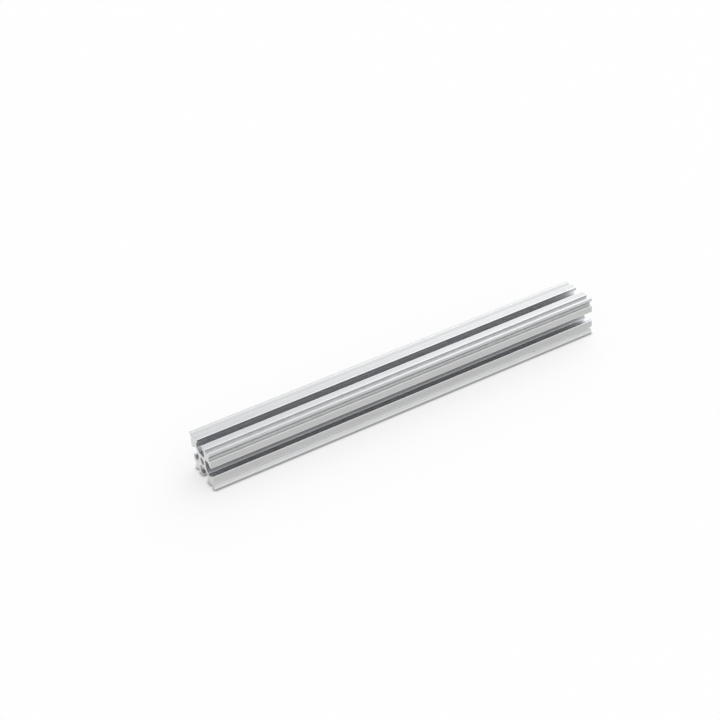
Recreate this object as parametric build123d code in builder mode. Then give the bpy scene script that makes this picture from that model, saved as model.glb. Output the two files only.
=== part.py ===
"""A straight length of T-slot aluminium profile, 15 mm square, sawn square at both ends.

Sizes are in millimetres. +Y runs along the bar, +X across it and +Z up. The origin is in the
middle of the underside, so the bar lies on the plane Z = 0.
"""

import os
from math import sqrt

from build123d import *

# Overall size
bar_width = 15.0
bar_length = 150.0

# T slot in the middle of each side: a narrow mouth between two lips, and a wider cavity behind
mouth_width = 3.4
lip_tip_thickness = 1.1
lip_root_thickness = 1.8
cavity_width = 5.8

# Core round the bore, and the four diagonal webs that carry the corners
bore_diameter = 2.6
core_wall = 1.4
web_thickness = 1.4

# Corner beads, each set off from the raised land beside it by a groove with one sloping flank
bead_width = 0.95
groove_depth = 1.1
groove_flank_width = 1.4
groove_floor_width = 0.65

# Radii left by the extrusion die
corner_radius = 0.4
land_edge_radius = 0.15
groove_radius = 0.1
cavity_radius = 0.4

# Places worked out from the sizes above, measured from the centre of the section
half = bar_width / 2
mouth_edge = mouth_width / 2
cavity_side = cavity_width / 2
cavity_floor = bore_diameter / 2 + core_wall
web_offset = web_thickness / sqrt(2)
flank_start = cavity_side + web_offset
cavity_floor_side = cavity_floor - web_offset
bead_edge = half - bead_width
groove_floor_level = half - groove_depth
groove_floor_edge = bead_edge - groove_flank_width
land_edge = groove_floor_edge - groove_floor_width

# How far a cutting outline stands outside the side that it opens
overrun = 1.0
flank_end = bead_edge + overrun * groove_flank_width / groove_depth

# T slot outline, drawn at the top side with its mouth upwards
with BuildSketch() as slot_outline:
    with BuildLine():
        Polyline(
            (0, half + overrun),
            (mouth_edge, half + overrun),
            (mouth_edge, half - lip_tip_thickness),
            (cavity_side, half - lip_root_thickness),
            (cavity_side, flank_start),
            (cavity_floor_side, cavity_floor),
            (0, cavity_floor),
        )
        mirror(about=Plane.YZ)
    make_face()
    cavity_corners = slot_outline.vertices().filter_by(lambda v: v.Y < half - lip_tip_thickness - 0.01)
    fillet(cavity_corners, cavity_radius)

# Corner groove outline: a square wall at the land, a narrow floor, a sloping flank up to the bead
with BuildSketch() as groove_outline:
    with BuildLine():
        Polyline(
            (land_edge, half + overrun),
            (land_edge, groove_floor_level),
            (groove_floor_edge, groove_floor_level),
            (flank_end, half + overrun),
            close=True,
        )
    make_face()
    floor_corners = groove_outline.vertices().group_by(Axis.Y)[0]
    fillet(floor_corners, groove_radius)
    mirror(about=Plane.YZ)


def mouth_corner(vertex):
    """Tell whether a corner of the section is the edge of a lip or of a land on one of the sides."""
    across, outward = sorted((abs(vertex.X), abs(vertex.Y)))
    on_side = abs(outward - half) < 0.001
    return on_side and min(abs(across - mouth_edge), abs(across - land_edge)) < 0.001


def bead_corner(vertex):
    """Tell whether a corner of the section is where a groove's sloping flank meets a side."""
    across, outward = sorted((abs(vertex.X), abs(vertex.Y)))
    return abs(outward - half) < 0.001 and abs(across - bead_edge) < 0.001


# Full section, with a slot and two grooves on each of the four sides
with BuildSketch() as section:
    RectangleRounded(bar_width, bar_width, corner_radius)
    with PolarLocations(0, 4):
        add(slot_outline.sketch, mode=Mode.SUBTRACT)
        add(groove_outline.sketch, mode=Mode.SUBTRACT)
    Circle(bore_diameter / 2, mode=Mode.SUBTRACT)
    fillet(section.vertices().filter_by(mouth_corner), land_edge_radius)
    fillet(section.vertices().filter_by(bead_corner), groove_radius)

# The bar, extruded both ways from its middle
across_bar = Plane(origin=(0, 0, half), x_dir=(1, 0, 0), z_dir=(0, -1, 0))
with BuildPart() as t_slot_bar:
    with BuildSketch(across_bar):
        add(section.sketch)
    extrude(amount=bar_length / 2, both=True)

t_slot_bar.part.label = "t_slot_bar"

os.makedirs("parts", exist_ok=True)
export_step(t_slot_bar.part, "parts/t_slot_bar.step")
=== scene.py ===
"""A length of square T-slot aluminium profile, clear anodised, lying on a pale studio floor.

Everything is in metres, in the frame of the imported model: +Y runs along the bar, +X across it and
+Z up, with the origin in the middle of the underside.
"""

import logging
import math
from dataclasses import dataclass, field
from enum import Enum
from typing import Any

import bpy
import numpy as np
from mathutils import Matrix, Vector
from mathutils.geometry import tessellate_polygon

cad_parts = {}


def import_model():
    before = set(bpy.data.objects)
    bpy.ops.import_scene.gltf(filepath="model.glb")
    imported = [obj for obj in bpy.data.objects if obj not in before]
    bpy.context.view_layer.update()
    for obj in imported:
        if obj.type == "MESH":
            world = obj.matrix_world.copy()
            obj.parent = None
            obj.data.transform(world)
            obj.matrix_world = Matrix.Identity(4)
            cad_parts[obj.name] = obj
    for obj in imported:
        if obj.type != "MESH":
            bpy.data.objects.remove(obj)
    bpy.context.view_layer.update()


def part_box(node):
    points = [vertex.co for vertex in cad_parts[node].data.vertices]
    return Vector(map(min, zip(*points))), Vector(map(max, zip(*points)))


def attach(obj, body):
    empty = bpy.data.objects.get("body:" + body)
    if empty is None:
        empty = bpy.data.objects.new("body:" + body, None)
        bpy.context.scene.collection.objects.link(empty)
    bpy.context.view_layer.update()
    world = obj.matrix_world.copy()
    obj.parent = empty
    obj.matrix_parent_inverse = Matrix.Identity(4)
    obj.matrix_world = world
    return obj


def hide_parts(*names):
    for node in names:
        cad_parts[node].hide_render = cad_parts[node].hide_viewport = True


log = logging.getLogger("profile")

MM = 0.001
CAD_NODE = "t_slot_bar"

# Names under which the mesh keeps how worn a place is, with painted highlight, and how much painted shade
# it gets
WEAR_AND_HIGHLIGHT_ATTRIBUTE = "wear_and_highlight_mask"
PAINTED_SHADE_ATTRIBUTE = "painted_groove_shade"

# Radius up to which an edge gets its full wear and painted highlight, and how far these reach onto the
# flats
SHARP_RADIUS = 0.15 * MM
WEAR_AND_HIGHLIGHT_REACH = 0.3 * MM

# Range that most values of a noise texture lie in
NOISE_RANGE = (0.3, 0.7)

BLACK = (0.0, 0.0, 0.0, 1.0)
SPECK_COLOUR = (0.05, 0.05, 0.05, 1.0)


class Surface(Enum):
    """The surfaces of the bar that have a finish of their own, as indices of its material slots."""

    OUTSIDE = 0
    SLOT = 1
    SAWN_END = 2
    BORE = 3


@dataclass(frozen=True)
class SectionSizes:
    """Sizes of the profile's section, in metres, measured as on the drawing of the bar."""

    width: float
    mouth_width: float = 3.4 * MM
    lip_tip_thickness: float = 1.1 * MM
    lip_root_thickness: float = 1.8 * MM
    cavity_width: float = 5.8 * MM
    bore_diameter: float = 2.6 * MM
    core_wall: float = 1.4 * MM
    web_thickness: float = 1.4 * MM
    bead_width: float = 0.95 * MM
    groove_depth: float = 1.1 * MM
    groove_flank_width: float = 1.4 * MM
    groove_floor_width: float = 0.65 * MM
    corner_radius: float = 0.4 * MM
    land_edge_radius: float = 0.15 * MM
    groove_radius: float = 0.1 * MM
    cavity_radius: float = 0.4 * MM
    lip_edge_radius: float = 0.12 * MM

    def side_corners(self) -> np.ndarray:
        """Give the corners of one side of the section, the upper one, from left to right.

        Returns:
            Rows of x, y, fillet radius and 1 where the corner is inside the slot. The last row is
            the right corner bead, on the diagonal.
        """
        half = self.width / 2
        web_offset = self.web_thickness / math.sqrt(2)
        floor = self.bore_diameter / 2 + self.core_wall
        mouth = self.mouth_width / 2
        cavity = self.cavity_width / 2
        bead = half - self.bead_width
        groove = bead - self.groove_flank_width
        land = groove - self.groove_floor_width
        level = half - self.groove_depth
        right = np.array(
            [
                (floor - web_offset, floor, self.cavity_radius, 1),
                (cavity, cavity + web_offset, self.cavity_radius, 1),
                (cavity, half - self.lip_root_thickness, self.cavity_radius, 1),
                (mouth, half - self.lip_tip_thickness, self.lip_edge_radius, 1),
                (mouth, half, self.land_edge_radius, 0),
                (land, half, self.land_edge_radius, 0),
                (land, level, self.groove_radius, 0),
                (groove, level, self.groove_radius, 0),
                (bead, half, self.groove_radius, 0),
            ]
        )
        left = right[::-1] * (-1, 1, 1, 1)
        return np.vstack([left, right, [(half, half, self.corner_radius, 0)]])


@dataclass(frozen=True)
class Outline:
    """A closed outline in the plane of the section, clockwise as seen with x right and y up.

    Attributes:
        points: The points, n by 2.
        normals: Unit normals that point out of the metal, n by 2.
        run: Distance along the outline to each point.
        edge: How close to a convex edge each point is, 1 on a sharp edge, less on a rounder one, and
            falling to 0 on the flats beside it.
        in_slot: Whether the stretch from each point to the next is inside a slot.
    """

    points: np.ndarray
    normals: np.ndarray
    run: np.ndarray
    edge: np.ndarray
    in_slot: np.ndarray

    @property
    def length(self) -> float:
        """Distance once round the outline."""
        return float(self.run[-1] + np.linalg.norm(self.points[0] - self.points[-1]))


def quarter_turns(side: np.ndarray) -> np.ndarray:
    """Repeat the corners of one side round the section, each copy a quarter turn clockwise.

    Args:
        side: The corners of the upper side, as rows of x, y and two more values.

    Returns:
        The corners of all four sides in order.
    """
    sides = [side]
    for _ in range(3):
        last = sides[-1]
        sides.append(np.column_stack([last[:, 1], -last[:, 0], last[:, 2:]]))
    return np.vstack(sides)


def rounded_outline(corners: np.ndarray, step: float, arc_points: int) -> Outline:
    """Round a polygon's corners with tangent arcs and divide its straight runs evenly.

    An arc of radius r at a corner that turns by t starts r tan(t / 2) before the corner. Its centre
    lies r to the inner side of the start, and its points are the start turned about the centre by
    equal shares of t. Beside a convex edge the wear and painted highlight fall evenly to 0 over
    WEAR_AND_HIGHLIGHT_REACH.

    Args:
        corners: Rows of x, y, radius and slot flag, clockwise.
        step: Longest distance between two points of a straight run.
        arc_points: Points on each arc, its two ends included.

    Returns:
        The outline.
    """
    # Arcs at the corners
    at, radius, flag = corners[:, :2], corners[:, 2:3], corners[:, 3]
    ahead = np.roll(at, -1, axis=0) - at
    ahead /= np.linalg.norm(ahead, axis=1, keepdims=True)
    behind = np.roll(ahead, 1, axis=0)
    cross = behind[:, 0] * ahead[:, 1] - behind[:, 1] * ahead[:, 0]
    turn = np.arctan2(cross, np.sum(behind * ahead, axis=1))
    outward = np.column_stack([-behind[:, 1], behind[:, 0]])
    start = at - behind * radius * np.tan(np.abs(turn[:, None]) / 2)
    centre = start + outward * radius * np.sign(turn[:, None])
    share = np.linspace(0, 1, arc_points)
    cos = np.cos(turn[:, None] * share)[..., None]
    sin = np.sin(turn[:, None] * share)[..., None]

    def turned(spoke: np.ndarray) -> np.ndarray:
        """Turn one vector for each corner by each of that corner's angles."""
        across = np.column_stack([-spoke[:, 1], spoke[:, 0]])
        return (spoke[:, None] * cos + across[:, None] * sin).reshape(-1, 2)

    points = np.repeat(centre, arc_points, axis=0) + turned(start - centre)
    normals = turned(outward)
    sharpness = np.minimum(SHARP_RADIUS / radius[:, 0], 1)
    edge = np.repeat(np.where(turn < 0, sharpness, 0), arc_points)
    inside = np.repeat(flag, arc_points).reshape(-1, arc_points)
    inside[:, -1] = flag * np.roll(flag, -1)

    # Straight runs between the arcs, on which the wear and painted highlight of the edges fade out
    gap = np.roll(points, -1, axis=0) - points
    reach = np.linalg.norm(gap, axis=1)
    count = np.maximum(np.ceil(reach / step).astype(int), 1)
    index = np.repeat(np.arange(len(points)), count)
    after = (index + 1) % len(points)
    place = np.arange(count.sum()) - np.repeat(np.cumsum(count) - count, count)
    place = (place / count[index])[:, None]
    dense = points[index] + gap[index] * place
    dense_normals = normals[index] * (1 - place) + normals[after] * place
    dense_normals /= np.linalg.norm(dense_normals, axis=1, keepdims=True)
    gone = place[:, 0] * reach[index]
    before_edge = edge[index] * np.clip(1 - gone / WEAR_AND_HIGHLIGHT_REACH, 0, 1)
    after_edge = edge[after] * np.clip(1 - (reach[index] - gone) / WEAR_AND_HIGHLIGHT_REACH, 0, 1)
    dense_edge = np.maximum(before_edge, after_edge)
    run = np.concatenate([[0], np.cumsum(np.linalg.norm(np.diff(dense, axis=0), axis=1))])
    return Outline(dense, dense_normals, run, dense_edge, inside.ravel()[index] > 0)


@dataclass(frozen=True)
class DieLines:
    """Shallow lengthwise lines that the die leaves all round the section.

    Attributes:
        depth: Greatest depth of the lines below the true surface.
        finest: Shortest distance from one line to the next.
        coarsest: Longest distance from one line to the next.
        waves: Number of waves that are added up.
        fade_length: About how far along the bar a line stays the same.
        shortest_fade: The shortest such distance, as a share of that length.
        fade_share: How strongly a line fades, as a share of its middle depth.
        seed: Seed of the random draws.
    """

    depth: float = 0.008 * MM
    finest: float = 0.5 * MM
    coarsest: float = 3.0 * MM
    waves: int = 28
    fade_length: float = 60 * MM
    shortest_fade: float = 0.7
    fade_share: float = 0.5
    seed: int = 15

    def relief(self, run: np.ndarray, length: float, y: np.ndarray) -> tuple[np.ndarray, np.ndarray]:
        """Work out the depth of the lines and its slope round the section.

        The depth is a sum of cosines of the distance round the outline, each with a whole number of
        waves so that it closes, and each fading slowly in and out along the bar.

        Args:
            run: Distance round the outline.
            length: Distance once round the outline.
            y: Places along the bar.

        Returns:
            Depth and slope, each len(y) by len(run).
        """
        draw = np.random.default_rng(self.seed)
        pitch = self.finest * (self.coarsest / self.finest) ** draw.random(self.waves)
        waves = np.round(length / pitch) * 2 * np.pi / length
        weight = draw.random(self.waves) * pitch
        weight /= weight.sum()
        phase = draw.random(self.waves) * 2 * np.pi
        fade_length = self.fade_length * (self.shortest_fade + draw.random(self.waves))
        fade_phase = draw.random(self.waves) * 2 * np.pi
        swing = np.cos(y[:, None] * 2 * np.pi / fade_length + fade_phase)
        fade = (1 + self.fade_share * swing) / (1 + self.fade_share)
        angle = run[:, None] * waves + phase
        depth = self.depth * (1 + (fade * weight) @ np.cos(angle).T) / 2
        slope = -self.depth * ((fade * weight * waves) @ np.sin(angle).T) / 2
        return depth, slope


def tube_quads(rings: int, around: int, outward: bool) -> np.ndarray:
    """Number the faces of a closed tube whose vertices are stored ring after ring.

    Args:
        rings: Number of rings.
        around: Vertices in each ring.
        outward: Whether the faces point away from the axis of a clockwise ring.

    Returns:
        Vertex numbers, four for each face.
    """
    ring, place = np.meshgrid(np.arange(rings - 1), np.arange(around), indexing="ij")
    here = (ring * around + place).ravel()
    beside = (ring * around + (place + 1) % around).ravel()
    quads = np.column_stack([here, beside, beside + around, here + around])
    return quads if outward else quads[:, ::-1]


@dataclass
class ExtrudedBar:
    """The whole bar: its section carried along Y, rounded off at the sawn ends, with its bore.

    Attributes:
        sizes: The section's sizes.
        length: Length of the bar.
        name: Name of the piece.
        die_lines: The lines left by the die.
        rim_radius: Radius left on the sawn edges by deburring.
        rim_rings: Rings of points across that radius.
        rim_rubbed: Share of that radius over which the rubbing of the rim grows to its full strength.
        body_rings: Rings of points from the end of one rim to the start of the other, both included.
        step: Longest distance between two points round the section.
        arc_points: Points on each rounded corner of the section.
        bore_points: Points round the bore.
        burnish_start: Depth in a groove where the painted highlight on its floor starts, as a share
            of the groove's depth.
        film_start: Depth below the side where the painted shade in a slot starts.
        film_full: Depth below the side from which it is full.
    """

    sizes: SectionSizes
    length: float
    name: str = "extruded_bar"
    die_lines: DieLines = field(default_factory=DieLines)
    rim_radius: float = 0.08 * MM
    rim_rings: int = 4
    rim_rubbed: float = 0.25
    body_rings: int = 31
    step: float = 0.15 * MM
    arc_points: int = 7
    bore_points: int = 72
    burnish_start: float = 0.85
    film_start: float = 3.4 * MM
    film_full: float = 4.0 * MM

    @property
    def rings(self) -> int:
        """Number of rings along the whole bar. The body shares its first and last with the rims."""
        return 2 * self.rim_rings + self.body_rings - 2

    def stations(self) -> tuple[np.ndarray, np.ndarray, np.ndarray]:
        """Give the rings along the bar.

        Across a rim of radius r, the ring at angle a stands r (1 - cos a) from the end plane and
        r (1 - sin a) inside the surface, and its normal leans by cos a towards the end.

        Returns:
            Place along Y, distance inside the surface, and the part of the normal along Y.
        """
        angle = np.linspace(0, np.pi / 2, self.rim_rings)
        first = -self.length / 2
        near = first + self.rim_radius * (1 - np.cos(angle))
        body = np.linspace(near[-1], -near[-1], self.body_rings)[1:-1]
        inside = self.rim_radius * (1 - np.sin(angle))
        flat = np.zeros(len(body))
        y = np.concatenate([near, body, -near[::-1]])
        inset = np.concatenate([inside, flat, inside[::-1]])
        lean = np.concatenate([-np.cos(angle), flat, np.cos(angle)[::-1]])
        return y, inset, lean

    def skin(self, outline: Outline) -> tuple[np.ndarray, np.ndarray]:
        """Carry the outline along the bar, sunk by the die lines and by the rims.

        Args:
            outline: The section's outline.

        Returns:
            Vertices and normals, ring after ring.
        """
        y, inset, lean = self.stations()
        depth, slope = self.die_lines.relief(outline.run, outline.length, y)
        sunk = (depth + inset[:, None])[..., None]
        flat = outline.points[None] - outline.normals[None] * sunk
        tangent = np.column_stack([outline.normals[:, 1], -outline.normals[:, 0]])
        normal = outline.normals[None] + tangent[None] * slope[..., None]
        normal /= np.linalg.norm(normal, axis=2, keepdims=True)
        normal *= np.sqrt(1 - lean**2)[:, None, None]
        return self.placed(flat, y), self.upright(normal, lean)

    def bore(self) -> tuple[np.ndarray, np.ndarray]:
        """Make the wall of the core bore, a circle carried along the bar and widened at the rims.

        Returns:
            Vertices and normals, ring after ring.
        """
        y, inset, lean = self.stations()
        angle = -np.arange(self.bore_points) * 2 * np.pi / self.bore_points
        spoke = np.column_stack([np.cos(angle), np.sin(angle)])
        radius = (self.sizes.bore_diameter / 2 + inset)[:, None, None]
        normal = -spoke[None] * np.sqrt(1 - lean**2)[:, None, None]
        return self.placed(spoke[None] * radius, y), self.upright(normal, lean)

    def placed(self, flat: np.ndarray, y: np.ndarray) -> np.ndarray:
        """Put rings drawn about the section's centre at their places along the bar.

        Args:
            flat: Points of each ring, rings by points by 2.
            y: Place of each ring.

        Returns:
            The points in space, one row each.
        """
        along = np.broadcast_to(y[:, None], flat.shape[:2])
        height = flat[..., 1] + self.sizes.width / 2
        return np.stack([flat[..., 0], along, height], axis=2).reshape(-1, 3)

    @staticmethod
    def upright(flat: np.ndarray, lean: np.ndarray) -> np.ndarray:
        """Turn normals in the plane of the section into normals in space.

        Args:
            flat: Normals of each ring, rings by points by 2.
            lean: Part of the normal along Y for each ring.

        Returns:
            The normals, one row each.
        """
        along = np.broadcast_to(lean[:, None], flat.shape[:2])
        return np.stack([flat[..., 0], along, flat[..., 1]], axis=2).reshape(-1, 3)

    @staticmethod
    def end_faces(vertices: np.ndarray, outer: np.ndarray, hole: np.ndarray, side: int) -> np.ndarray:
        """Fill a sawn end between the section's outline and the bore.

        Args:
            vertices: All vertices.
            outer: Vertex numbers of the outline's ring at this end.
            hole: Vertex numbers of the bore's ring at this end.
            side: -1 for the end at low Y and 1 for the other.

        Returns:
            Vertex numbers, three for each face, turned to face outwards.
        """
        flat = [vertices[loop][:, (0, 2)].tolist() for loop in (outer, hole)]
        number = np.concatenate([outer, hole])
        faces = number[np.array(tessellate_polygon(flat))]
        a, b, c = (vertices[faces[:, i]] for i in range(3))
        area = np.cross(b - a, c - a)[:, 1]
        faces, area = faces[area != 0], area[area != 0]
        wrong = area * side < 0
        faces[wrong] = faces[wrong][:, ::-1]
        return faces

    def groove_marks(self, outline: Outline) -> tuple[np.ndarray, np.ndarray]:
        """Tell where the grooves get painted highlight and where grooves and slots get painted shade.

        With d the depth below the nearest side as a share of the groove's depth, s the share at
        which the painted highlight starts, and f the part of the normal that points out of that side,
        the floor gets painted highlight (d - s) / (1 - s) and the painted shade is
        (1 - (2 d - 1)^2) (1 - f) + f (1 - |d - s| / (1 - s)): most half way down a wall that stands
        square, and in a line at the foot of a flank. In a slot the painted shade grows evenly from the
        depth where it starts to the depth where it is full.

        Args:
            outline: The section's outline.

        Returns:
            Painted highlight and painted shade of each point.
        """
        place = np.abs(outline.points)
        side = place.argmax(axis=1)[:, None]
        facing = np.take_along_axis(np.abs(outline.normals), side, axis=1)[:, 0]
        below = self.sizes.width / 2 - place.max(axis=1)
        depth = np.clip(below / self.sizes.groove_depth, 0, 1)
        past_start = (depth - self.burnish_start) / (1 - self.burnish_start)
        # Painted highlight: the floors of the grooves are lightened
        groove_highlight = np.where(outline.in_slot, 0, np.clip(past_start, 0, 1))
        foot = np.clip(1 - np.abs(past_start), 0, 1)
        # Painted shade: darkest half way down a square groove wall and in a line at the foot of a flank
        walls = (1 - (2 * depth - 1) ** 2) * (1 - facing) + foot * facing
        deep = np.clip((below - self.film_start) / (self.film_full - self.film_start), 0, 1)
        return groove_highlight, np.where(outline.in_slot, deep, walls)

    def keep_marks(self, mesh: bpy.types.Mesh, outline: Outline) -> None:
        """Write the wear with its painted highlight, and the painted shade, into the mesh. The bore has
        neither.

        Args:
            mesh: The bar's mesh.
            outline: The section's outline.
        """
        groove_highlight, film = self.groove_marks(outline)
        _, inset, _ = self.stations()
        rim = np.minimum(inset / (self.rim_rubbed * self.rim_radius), 1)[:, None]
        wear_and_highlight_mask = np.maximum(np.maximum(outline.edge, groove_highlight)[None], rim).ravel()
        bore = np.zeros(self.rings * self.bore_points)
        for name, values in ((WEAR_AND_HIGHLIGHT_ATTRIBUTE, wear_and_highlight_mask), (PAINTED_SHADE_ATTRIBUTE, np.tile(film, self.rings))):
            layer = mesh.attributes.new(name, "FLOAT", "POINT")
            layer.data.foreach_set("value", np.concatenate([values, bore]).astype(np.float32))

    def faces(self, vertices: np.ndarray, around: int) -> tuple[np.ndarray, np.ndarray]:
        """Join the rings of the skin and of the bore, and fill the two sawn ends.

        Args:
            vertices: All vertices, those of the skin first.
            around: Vertices in each ring of the skin.

        Returns:
            Vertex numbers of the faces along the bar, four each, and of those on the ends, three
            each.
        """
        first_of_bore = self.rings * around
        last = self.rings - 1
        skin = tube_quads(self.rings, around, True)
        bore = tube_quads(self.rings, self.bore_points, False) + first_of_bore
        outer, hole = np.arange(around), np.arange(self.bore_points) + first_of_bore
        near = self.end_faces(vertices, outer, hole, -1)
        far = self.end_faces(vertices, outer + last * around, hole + last * self.bore_points, 1)
        return np.vstack([skin, bore]), np.vstack([near, far])

    def surfaces(self, outline: Outline, end_count: int) -> np.ndarray:
        """Tell which surface each face belongs to. The rims belong to the sawn ends.

        Args:
            outline: The section's outline.
            end_count: Number of faces on the two ends.

        Returns:
            Index of each face's material slot.
        """
        rim = np.zeros(self.rings - 1, bool)
        rim[: self.rim_rings - 1] = True
        rim[1 - self.rim_rings :] = True
        skin = np.where(outline.in_slot, Surface.SLOT.value, Surface.OUTSIDE.value)
        skin = np.where(rim[:, None], Surface.SAWN_END.value, skin[None]).ravel()
        bore = np.full((self.rings - 1) * self.bore_points, Surface.BORE.value)
        ends = np.full(end_count, Surface.SAWN_END.value)
        return np.concatenate([skin, bore, ends])

    def build(self) -> bpy.types.Object:
        """Build the bar as one closed mesh with its normals, marks and surfaces.

        Returns:
            The bar's object, at the origin.
        """
        outline = rounded_outline(quarter_turns(self.sizes.side_corners()), self.step, self.arc_points)
        skin, skin_normals = self.skin(outline)
        bore, bore_normals = self.bore()
        vertices = np.vstack([skin, bore])
        normals = np.vstack([skin_normals, bore_normals])
        around = len(outline.points)
        quads, ends = self.faces(vertices, around)
        surfaces = self.surfaces(outline, len(ends))

        mesh = bpy.data.meshes.new(self.name)
        mesh.from_pydata(vertices.tolist(), [], quads.tolist() + ends.tolist())
        mesh.polygons.foreach_set("material_index", surfaces.astype(np.int32))
        mesh.polygons.foreach_set("use_smooth", np.ones(len(surfaces), bool))
        self.keep_marks(mesh, outline)
        mesh.update()
        mesh.normals_split_custom_set_from_vertices(normals.tolist())
        bar = bpy.data.objects.new(self.name, mesh)
        bpy.context.scene.collection.objects.link(bar)
        log.info("%s: %d vertices, %d faces, %d points round the section",
                 self.name, len(vertices), len(surfaces), around)
        return bar

    def dress(self, bar: bpy.types.Object, finishes: "dict[Surface, Finish]") -> None:
        """Give each surface of the bar its finish.

        Args:
            bar: The bar's object.
            finishes: The finish of each surface.
        """
        for surface in Surface:
            bar.data.materials.append(finishes[surface].material())
            log.info("%s: %s is %s", self.name, surface.name.lower(), finishes[surface].name)


class Graph:
    """A node tree with short calls to add nodes and join them."""

    def __init__(self, tree: bpy.types.NodeTree) -> None:
        """Keep the tree and empty it.

        Args:
            tree: The tree of a material, a world or a node group.
        """
        self.tree = tree
        tree.nodes.clear()

    def add(self, kind: str, settings: dict[str, Any] | None = None, **inputs: Any) -> bpy.types.Node:
        """Add a node.

        Args:
            kind: Blender's name of the node's type, without ShaderNode.
            settings: Properties of the node.
            **inputs: Values or output sockets for its inputs, with _ in place of a space.

        Returns:
            The node.
        """
        node = self.tree.nodes.new(kind if kind.startswith("Node") else "ShaderNode" + kind)
        for key, value in (settings or {}).items():
            setattr(node, key, value)
        for key, value in inputs.items():
            self.put(node, key.replace("_", " "), value)
        return node

    def put(self, node: bpy.types.Node, name: str, value: Any) -> None:
        """Set or join one input of a node.

        Args:
            node: The node.
            name: The input's name, or its number as text.
            value: A number, a tuple or an output socket.
        """
        socket = node.inputs[int(name)] if name.isdigit() else node.inputs[name]
        if isinstance(value, bpy.types.NodeSocket):
            self.tree.links.new(value, socket)
        else:
            socket.default_value = value

    def math(self, operation: str, *values: Any, clamp: bool = False) -> bpy.types.NodeSocket:
        """Add a Math node.

        Args:
            operation: The node's operation.
            *values: Its values, numbers or sockets.
            clamp: Whether the result is kept from 0 to 1.

        Returns:
            The node's output.
        """
        node = self.add("Math", {"operation": operation, "use_clamp": clamp})
        for i, value in enumerate(values):
            self.put(node, str(i), value)
        return node.outputs[0]

    def vector(self, operation: str, *values: Any) -> bpy.types.Node:
        """Add a Vector Math node.

        Args:
            operation: The node's operation.
            *values: Its values, vectors or sockets.

        Returns:
            The node. A distance or a dot product is its Value, any other result its Vector.
        """
        node = self.add("VectorMath", {"operation": operation})
        for i, value in enumerate(values):
            self.put(node, str(i), value)
        return node

    def blend(self, share: Any, low: Any, high: Any) -> bpy.types.NodeSocket:
        """Mix two colours by a share.

        Args:
            share: Share of the second colour.
            low: First colour.
            high: Second colour.

        Returns:
            The mixed colour.
        """
        node = self.add("Mix", {"data_type": "RGBA"})
        self.put(node, "0", share)
        self.put(node, "6", low)
        self.put(node, "7", high)
        return node.outputs[2]

    def ramp(
        self, value: Any, given: tuple[Any, Any], wanted: tuple[float, float], smooth: bool = False
    ) -> bpy.types.NodeSocket:
        """Carry a value from one range to another and keep it there.

        Args:
            value: The value.
            given: Start and end of its range.
            wanted: Results at the start and at the end.
            smooth: Whether the result eases in and out instead of changing evenly.

        Returns:
            The result.
        """
        node = self.add("MapRange", {"interpolation_type": "SMOOTHSTEP" if smooth else "LINEAR"})
        for i, entry in enumerate((value, *given, *wanted)):
            self.put(node, str(i), entry)
        return node.outputs[0]


def node_group(name: str, inputs: dict[str, float], outputs: list[str]) -> tuple[Graph, Any, Any]:
    """Start a shader node group whose first input is the place on the surface.

    Args:
        name: The group's name.
        inputs: Names and default values of its number inputs.
        outputs: Names of its value outputs.

    Returns:
        The group's graph, its input node and its output node.
    """
    tree = bpy.data.node_groups.new(name, "ShaderNodeTree")
    tree.interface.new_socket("Place", in_out="INPUT", socket_type="NodeSocketVector")
    for entry, value in inputs.items():
        socket = tree.interface.new_socket(entry, in_out="INPUT", socket_type="NodeSocketFloat")
        socket.default_value = value
    for entry in outputs:
        tree.interface.new_socket(entry, in_out="OUTPUT", socket_type="NodeSocketFloat")
    graph = Graph(tree)
    return graph, graph.add("NodeGroupInput"), graph.add("NodeGroupOutput")


def die_line_group() -> bpy.types.NodeTree:
    """Build the group of fine lengthwise lines: noise drawn out along Y, in two widths.

    Returns:
        The group, with a Streak from 0 to 1 and a Height.
    """
    drawn_out = (1, 0.012, 1)
    fine_waves, broad_waves = 2.6, 0.55
    fine_share = 0.45
    broad_seed = 7.0
    streak_range = (0.34, 0.66)
    graph, given, out = node_group("die lines", {"Pitch": 1.0, "Seed": 0.0}, ["Streak", "Height"])
    place = graph.vector("MULTIPLY", given.outputs["Place"], drawn_out).outputs["Vector"]
    scale = graph.math("DIVIDE", 1 / MM, given.outputs["Pitch"])
    noise = {"noise_dimensions": "4D"}
    fine = graph.add("TexNoise", noise, Vector=place, Detail=3.0, Roughness=0.6)
    graph.put(fine, "W", given.outputs["Seed"])
    graph.put(fine, "Scale", graph.math("MULTIPLY", scale, fine_waves))
    broad = graph.add("TexNoise", noise, Vector=place, Detail=2.0)
    graph.put(broad, "W", graph.math("ADD", given.outputs["Seed"], broad_seed))
    graph.put(broad, "Scale", graph.math("MULTIPLY", scale, broad_waves))
    streak = graph.math("MULTIPLY", broad.outputs[0], 1 - fine_share)
    streak = graph.math("MULTIPLY_ADD", fine.outputs[0], fine_share, streak)
    graph.put(out, "Streak", graph.ramp(streak, streak_range, (0, 1)))
    graph.put(out, "Height", fine.outputs[0])
    return graph.tree


def oxide_group() -> bpy.types.NodeTree:
    """Build the group of the oxide layer's soft clouds: noise a few millimetres across.

    Returns:
        The group, with a Cloud from 0 to 1.
    """
    drawn_out = (1, 0.35, 1)
    cloud_range = (0.35, 0.65)
    graph, given, out = node_group("oxide clouds", {"Size": 6.0}, ["Cloud"])
    scale = graph.math("DIVIDE", 1 / MM, given.outputs["Size"])
    place = graph.vector("MULTIPLY", given.outputs["Place"], drawn_out).outputs["Vector"]
    cloud = graph.add("TexNoise", Vector=place, Scale=scale, Detail=4.0, Distortion=0.6)
    graph.put(out, "Cloud", graph.ramp(cloud.outputs[0], cloud_range, (0, 1)))
    return graph.tree


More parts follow.
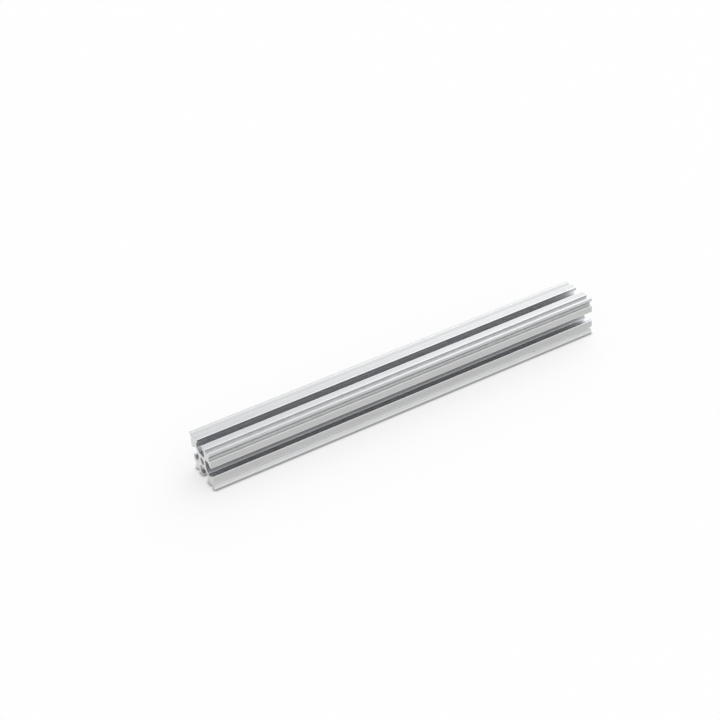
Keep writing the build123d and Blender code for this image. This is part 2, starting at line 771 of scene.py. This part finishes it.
def speck_group() -> bpy.types.NodeTree:
    """Build the group of sparse specks: the few cells of a random pattern that draw a low number.

    Returns:
        The group, with a Speck mask from 0 to 1.
    """
    wander, wander_size = (0.12 * MM,) * 3, MM / 3
    least_size, full_share = 0.35, 0.5
    graph, given, out = node_group("specks", {"Cell": 2.2, "Share": 0.12, "Radius": 0.12}, ["Speck"])
    scale = graph.math("DIVIDE", 1 / MM, given.outputs["Cell"])
    bent = graph.add("TexNoise", Vector=given.outputs["Place"], Scale=1 / wander_size)
    place = graph.vector("MULTIPLY_ADD", bent.outputs["Color"], wander, given.outputs["Place"])
    cells = graph.add("TexVoronoi", Vector=place.outputs["Vector"], Scale=scale)
    draw = graph.add("SeparateColor", Color=cells.outputs["Color"])
    chosen = graph.math("LESS_THAN", draw.outputs[0], given.outputs["Share"])
    size = graph.math("MULTIPLY", given.outputs["Radius"], graph.math("ADD", draw.outputs[1], least_size))
    full = graph.math("MULTIPLY", size, full_share)
    near = graph.ramp(cells.outputs["Distance"], (full, size), (1, 0), smooth=True)
    graph.put(out, "Speck", graph.math("MULTIPLY", chosen, near))
    return graph.tree


def wear_group() -> bpy.types.NodeTree:
    """Build the group of rubbed edges with painted highlight: the mesh's value at a place, broken up by
    noise.

    Returns:
        The group, with a Worn mask from 0 to 1.
    """
    fall_off, least, patch_size = 2.0, 0.6, 2 * MM
    graph, given, out = node_group("edge wear and highlight", {"Amount": 0.5}, ["Worn"])
    wear_and_highlight_mask = graph.add("Attribute", {"attribute_name": WEAR_AND_HIGHLIGHT_ATTRIBUTE})
    patch = graph.add("TexNoise", Vector=given.outputs["Place"], Scale=1 / patch_size, Detail=5.0)
    broken = graph.ramp(patch.outputs[0], NOISE_RANGE, (least, 1))
    mask = graph.math("MULTIPLY", graph.math("POWER", wear_and_highlight_mask.outputs["Fac"], fall_off), broken)
    graph.put(out, "Worn", graph.math("MULTIPLY", mask, given.outputs["Amount"], clamp=True))
    return graph.tree


def film_group() -> bpy.types.NodeTree:
    """Build the group of painted shade in grooves and slots: the mesh's value, a little uneven.

    Returns:
        The group, with a Film mask from 0 to 1.
    """
    least, patch_size = 0.92, 5 * MM
    graph, given, out = node_group("painted groove shade", {"Amount": 0.5}, ["Film"])
    groove = graph.add("Attribute", {"attribute_name": PAINTED_SHADE_ATTRIBUTE})
    patch = graph.add("TexNoise", Vector=given.outputs["Place"], Scale=1 / patch_size, Detail=3.0)
    uneven = graph.ramp(patch.outputs[0], NOISE_RANGE, (least, 1))
    mask = graph.math("MULTIPLY", groove.outputs["Fac"], uneven)
    graph.put(out, "Film", graph.math("MULTIPLY", mask, given.outputs["Amount"], clamp=True))
    return graph.tree


@dataclass
class Effects:
    """The node groups that several finishes share, built once."""

    die_lines: bpy.types.NodeTree
    oxide: bpy.types.NodeTree
    specks: bpy.types.NodeTree
    wear: bpy.types.NodeTree
    film: bpy.types.NodeTree

    @classmethod
    def built(cls) -> "Effects":
        """Build the groups."""
        return cls(die_line_group(), oxide_group(), speck_group(), wear_group(), film_group())


@dataclass(frozen=True)
class Finish:
    """What all finishes of the bar have in common.

    Attributes:
        name: The material's name.
        effects: The shared node groups.
        colour: The metal's colour.
        roughness: Its roughness.
    """

    name: str
    effects: Effects
    colour: tuple[float, float, float]
    roughness: float

    def start(self) -> tuple[bpy.types.Material, Graph, bpy.types.NodeSocket]:
        """Start the material.

        Returns:
            The material, its graph and the place on the surface.
        """
        material = bpy.data.materials.new(self.name)
        material.use_nodes = True
        graph = Graph(material.node_tree)
        return material, graph, graph.add("TexCoord").outputs["Object"]

    def effect(
        self, graph: Graph, group: bpy.types.NodeTree, place: Any, **values: float
    ) -> bpy.types.Node:
        """Place a shared group in the material.

        Args:
            graph: The material's graph.
            group: The group.
            place: The place on the surface.
            **values: Values of the group's inputs.

        Returns:
            The group's node.
        """
        node = graph.tree.nodes.new("ShaderNodeGroup")
        node.node_tree = group
        graph.put(node, "Place", place)
        for key, value in values.items():
            graph.put(node, key, value)
        return node

    def finish(self, graph: Graph, colour: Any, roughness: Any, normal: Any) -> None:
        """Add the metal's shader and the material's output.

        Args:
            graph: The material's graph.
            colour: Base colour.
            roughness: Roughness.
            normal: Normal.
        """
        metal = graph.add("BsdfPrincipled", Base_Color=colour, Metallic=1.0, Roughness=roughness)
        graph.put(metal, "Normal", normal)
        graph.add("OutputMaterial", Surface=metal.outputs[0])


def shade(colour: tuple[float, float, float], share: float) -> tuple[float, float, float, float]:
    """Darken or lighten a colour.

    Args:
        colour: Red, green and blue.
        share: What each is multiplied by.

    Returns:
        The colour with an alpha of 1.
    """
    return (*(channel * share for channel in colour), 1.0)


@dataclass(frozen=True)
class AnodisedFinish(Finish):
    """Satin clear anodising over drawn aluminium: die lines, soft clouds, specks, rubbed edges with
    painted highlight, and painted shade.

    Attributes:
        line_pitch: Distance from one fine line to the next, in millimetres.
        line_contrast: How much darker a line is than the metal between.
        line_gloss: How much a line is rougher, and the metal between smoother, than the finish.
        cloud_contrast: How much darker a cloud is.
        speck_share: Share of the pattern's cells that hold a speck.
        speck_cover: How fully a speck covers the metal.
        bump: Height of the fine lines.
        wear: Strength of the rubbed edges and painted highlight.
        wear_shade: Brightness of rubbed and painted-highlight metal, as a share of the colour.
        wear_gloss: How much smoother rubbed metal is.
        film: Strength of the painted shade in the grooves and slots.
        film_shade: Brightness of the painted shade, as a share of the colour.
    """

    line_pitch: float = 1.0
    line_contrast: float = 0.06
    line_gloss: float = 0.04
    cloud_contrast: float = 0.03
    speck_share: float = 0.05
    speck_cover: float = 0.55
    bump: float = 0.002 * MM
    wear: float = 1.0
    wear_shade: float = 1.32
    wear_gloss: float = 0.1
    film: float = 0.2
    film_shade: float = 0.4

    def material(self) -> bpy.types.Material:
        """Build the material.

        Returns:
            The material.
        """
        material, graph, place = self.start()
        lines = self.effect(graph, self.effects.die_lines, place, Pitch=self.line_pitch)
        cloud = self.effect(graph, self.effects.oxide, place)
        speck = self.effect(graph, self.effects.specks, place, Share=self.speck_share)
        worn_and_highlit = self.effect(graph, self.effects.wear, place, Amount=self.wear)
        film = self.effect(graph, self.effects.film, place, Amount=self.film)

        line_colour = shade(self.colour, 1 - self.line_contrast)
        colour = graph.blend(lines.outputs["Streak"], line_colour, shade(self.colour, 1))
        cloud_share = graph.math("MULTIPLY", cloud.outputs["Cloud"], self.cloud_contrast)
        colour = graph.blend(cloud_share, colour, BLACK)
        # Painted shade: groove walls, the feet of groove flanks and the deep parts of slots are darkened
        # to stand in for shade
        colour = graph.blend(film.outputs["Film"], colour, shade(self.colour, self.film_shade))
        # Partly real wear, partly painted highlight: edges and groove floors are lightened to stand in
        # for the light they catch
        colour = graph.blend(worn_and_highlit.outputs["Worn"], colour, shade(self.colour, self.wear_shade))
        cover = graph.math("MULTIPLY", speck.outputs["Speck"], self.speck_cover)
        colour = graph.blend(cover, colour, SPECK_COLOUR)

        rough_to_smooth = (self.roughness + self.line_gloss, self.roughness - self.line_gloss)
        rough = graph.ramp(lines.outputs["Streak"], (0, 1), rough_to_smooth)
        rough = graph.math("MULTIPLY_ADD", worn_and_highlit.outputs["Worn"], -self.wear_gloss, rough)
        bump = graph.add("Bump", Distance=self.bump, Height=lines.outputs["Height"])
        self.finish(graph, colour, rough, bump.outputs[0])
        return material


@dataclass(frozen=True)
class SawnFinish(Finish):
    """A bright sawn end: shallow arcs of the saw's teeth, crossed by specks and soft clouds.

    Attributes:
        saw_centre: Place of the blade's centre in the plane of the end, as x, 0 and z.
        tooth_pitch: Distance from one tooth mark to the next.
        waver: How far a mark wanders, as a share of that distance.
        waver_waves: Times that it does so in a millimetre.
        mark_shade: Brightness of a mark, as a share of the colour.
        mark_roughness: How much rougher than the finish a mark is.
        ridge_gloss: How much smoother the ridges between the marks are.
        bump: Depth of the tooth marks.
        shallowest: Depth of the marks where they are faintest, as a share of the full depth.
        cloud_size: Size of the clouds, in millimetres.
        speck_share: Share of the pattern's cells that hold a speck.
        speck_cover: How fully a speck covers the metal.
    """

    saw_centre: tuple[float, float, float] = (-68.2 * MM, 0.0, -85.8 * MM)
    tooth_pitch: float = 0.42 * MM
    waver: float = 0.5
    waver_waves: float = 0.6
    mark_shade: float = 0.88
    mark_roughness: float = 0.08
    ridge_gloss: float = 0.04
    bump: float = 0.012 * MM
    shallowest: float = 0.5
    cloud_size: float = 3.0
    speck_share: float = 0.06
    speck_cover: float = 0.5

    def material(self) -> bpy.types.Material:
        """Build the material. The marks are bands of the distance from the blade's centre.

        Returns:
            The material.
        """
        material, graph, place = self.start()
        cloud = self.effect(graph, self.effects.oxide, place, Size=self.cloud_size)
        speck = self.effect(graph, self.effects.specks, place, Share=self.speck_share)

        flat = graph.vector("MULTIPLY", place, (1, 0, 1)).outputs["Vector"]
        away = graph.vector("DISTANCE", flat, self.saw_centre).outputs["Value"]
        jitter = graph.add("TexNoise", Vector=flat, Scale=self.waver_waves / MM, Detail=3.0)
        away = graph.math("MULTIPLY_ADD", jitter.outputs[0], self.waver * self.tooth_pitch, away)
        wave = graph.math("SINE", graph.math("MULTIPLY", away, 2 * math.pi / self.tooth_pitch))
        band = graph.ramp(wave, (-1, 1), (0, 1))

        colour = graph.blend(band, shade(self.colour, self.mark_shade), shade(self.colour, 1))
        cover = graph.math("MULTIPLY", speck.outputs["Speck"], self.speck_cover)
        colour = graph.blend(cover, colour, SPECK_COLOUR)
        rough_to_smooth = (self.roughness + self.mark_roughness, self.roughness - self.ridge_gloss)
        rough = graph.ramp(band, (0, 1), rough_to_smooth)
        depth = graph.ramp(cloud.outputs["Cloud"], (0, 1), (self.shallowest, 1))
        bump = graph.add("Bump", Distance=self.bump, Height=graph.math("MULTIPLY", band, depth))
        self.finish(graph, colour, rough, bump.outputs[0])
        return material


@dataclass(frozen=True)
class Softbox:
    """A broad soft light far off, drawn on the sky as a round patch that fades towards its rim.

    Attributes:
        name: The light's name.
        azimuth: Direction round the bar in degrees, 0 from +X and 90 from +Y.
        elevation: Angle above the floor, in degrees.
        spread: Angle from the middle, where it is brightest, to the rim, in degrees.
        strength: Brightness in the middle.
    """

    name: str
    azimuth: float
    elevation: float
    spread: float
    strength: float

    def glow(self, graph: Graph, way: bpy.types.NodeSocket) -> bpy.types.NodeSocket:
        """Work out the light's brightness in every direction.

        It rises smoothly from 0 where the cosine of the angle to the middle is that of the spread
        to full strength where it is 1.

        Args:
            graph: The world's graph.
            way: The direction looked at.

        Returns:
            The brightness.
        """
        turn, rise = math.radians(self.azimuth), math.radians(self.elevation)
        reach = math.cos(rise)
        middle = (math.cos(turn) * reach, math.sin(turn) * reach, math.sin(rise))
        cosine = graph.vector("DOT_PRODUCT", way, middle).outputs["Value"]
        rim = math.cos(math.radians(self.spread))
        return graph.ramp(cosine, (rim, 1), (0, self.strength), smooth=True)


@dataclass(frozen=True)
class PhotoCamera:
    """The camera at the photograph's angle, worked out from the bar's edges in it.

    Attributes:
        aim: The point at the middle of the picture.
        distance: Distance from that point.
        azimuth: Angle round the bar, 0 looking along +Y and 90 along -X.
        elevation: Angle above the floor.
        roll: Turn about the line of sight.
        lens: Focal length for a sensor 36 mm wide.
        clip: Nearest and farthest distance that is drawn.
    """

    aim: tuple[float, float, float] = (-10.03 * MM, -9.76 * MM, 14.24 * MM)
    distance: float = 495.47 * MM
    azimuth: float = 63.63
    elevation: float = 34.59
    roll: float = -6.02
    lens: float = 72.66
    clip: tuple[float, float] = (0.01, 100.0)

    def place(self) -> None:
        """Place the camera and make it the scene's."""
        turn, rise, roll = (math.radians(angle) for angle in (self.azimuth, self.elevation, self.roll))
        reach = math.cos(rise)
        back = Vector((math.sin(turn) * reach, -math.cos(turn) * reach, math.sin(rise)))
        level = Vector((0, 0, 1)).cross(back).normalized()
        up = back.cross(level)
        right = level * math.cos(roll) + up * math.sin(roll)
        data = bpy.data.cameras.new("photo_camera")
        data.lens = self.lens
        data.clip_start, data.clip_end = self.clip
        camera = bpy.data.objects.new("photo_camera", data)
        turned = Matrix((right, back.cross(right), back)).transposed().to_4x4()
        camera.matrix_world = Matrix.Translation(Vector(self.aim) + back * self.distance) @ turned
        bpy.context.scene.collection.objects.link(camera)
        bpy.context.scene.camera = camera


@dataclass
class Studio:
    """The pale floor, the sky with its softboxes, and the camera.

    Attributes:
        floor_side: Length of the floor's side.
        floor_colour: Colour of the floor.
        floor_lift: Light added where the floor is seen, so that it reads as white.
        floor_tint: Colour of that light.
        contact: Reach of the shadow at the foot of the bar, where that light fades.
        contact_power: How quickly it fades there.
        sky: Brightness of the sky beside the softboxes.
        sky_tint: Colour of the sky and the softboxes.
        softboxes: The softboxes.
        camera: The camera.
    """

    floor_side: float = 40.0
    floor_colour: float = 0.35
    floor_lift: float = 0.64
    floor_tint: tuple[float, float, float] = (1.0, 1.0, 0.985)
    contact: float = 1.0 * MM
    contact_power: float = 1.5
    sky: float = 0.46
    sky_tint: tuple[float, float, float] = (0.97, 0.985, 1.0)
    softboxes: tuple[Softbox, ...] = (
        Softbox("far softbox", 115, 40, 58, 1.39),
        Softbox("side softbox", 20, 42, 42, 0.9),
        Softbox("front softbox", 285, 35, 60, 0.25),
    )
    camera: PhotoCamera = field(default_factory=PhotoCamera)

    def floor_material(self) -> bpy.types.Material:
        """Build the floor's material: matt, and lifted to white where it is seen off the bar's foot.

        Returns:
            The material.
        """
        material = bpy.data.materials.new("pale floor")
        material.use_nodes = True
        graph = Graph(material.node_tree)
        path = graph.add("LightPath")
        seen = graph.math("MAXIMUM", path.outputs["Is Camera Ray"], path.outputs["Is Glossy Ray"])
        seen = graph.math("MAXIMUM", seen, path.outputs["Is Transmission Ray"])
        open_share = graph.add("AmbientOcclusion", Distance=self.contact).outputs["AO"]
        off_foot = graph.math("POWER", open_share, self.contact_power)
        lift = graph.math("MULTIPLY", graph.math("MULTIPLY", seen, self.floor_lift), off_foot)
        pale = graph.add("BsdfPrincipled", Base_Color=shade((self.floor_colour,) * 3, 1), Roughness=1.0)
        graph.put(pale, "Specular IOR Level", 0.0)
        graph.put(pale, "Emission Color", shade(self.floor_tint, 1))
        graph.put(pale, "Emission Strength", lift)
        graph.add("OutputMaterial", Surface=pale.outputs[0])
        return material

    def floor(self) -> None:
        """Lay the floor, which keeps the bar's shadow."""
        half = self.floor_side / 2
        mesh = bpy.data.meshes.new("floor")
        corners = [(-half, -half, 0), (half, -half, 0), (half, half, 0), (-half, half, 0)]
        mesh.from_pydata(corners, [], [(0, 1, 2, 3)])
        mesh.materials.append(self.floor_material())
        floor = bpy.data.objects.new("floor", mesh)
        bpy.context.scene.collection.objects.link(floor)

    def surroundings(self) -> None:
        """Light the bar from the sky: an even grey with the softboxes added."""
        world = bpy.data.worlds.new("surroundings")
        bpy.context.scene.world = world
        world.use_nodes = True
        graph = Graph(world.node_tree)
        way = graph.add("TexCoord").outputs["Generated"]
        level = self.sky
        for softbox in self.softboxes:
            level = graph.math("ADD", softbox.glow(graph, way), level)
        sky = graph.add("Background", Color=shade(self.sky_tint, 1), Strength=level)
        graph.add("OutputWorld", Surface=sky.outputs[0])

    def build(self) -> None:
        """Set up the whole studio."""
        self.floor()
        self.surroundings()
        self.camera.place()
        lights = ", ".join(softbox.name for softbox in self.softboxes)
        log.info("studio: floor, %s, camera", lights)


def main() -> None:
    """Build the bar and the studio and note how large the bar is."""
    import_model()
    low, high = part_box(CAD_NODE)
    logging.basicConfig(level=logging.INFO, format="%(name)s: %(message)s")
    bpy.context.scene.view_settings.view_transform = "Standard"

    effects = Effects.built()
    finishes: dict[Surface, Finish] = {
        Surface.OUTSIDE: AnodisedFinish(
            "anodised outside", effects, colour=(0.6, 0.6, 0.601), roughness=0.4
        ),
        # Painted light: the slot's metal is lighter than the outside's to make up for light between its
        # walls
        Surface.SLOT: AnodisedFinish(
            "anodised slot", effects, colour=(0.79, 0.805, 0.825), roughness=0.42,
            speck_share=0.08, wear=0.1, film=0.9,
        ),
        Surface.SAWN_END: SawnFinish(
            "sawn end", effects, colour=(0.76, 0.76, 0.755), roughness=0.34
        ),
        Surface.BORE: AnodisedFinish(
            "bore wall", effects, colour=(0.75, 0.755, 0.76), roughness=0.6, wear=0.0
        ),
    }
    bar = ExtrudedBar(SectionSizes(width=high.x - low.x), length=high.y - low.y)
    piece = bar.build()
    bar.dress(piece, finishes)
    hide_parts(CAD_NODE)
    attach(piece, "root")

    Studio().build()


if __name__ == "__main__":
    main()
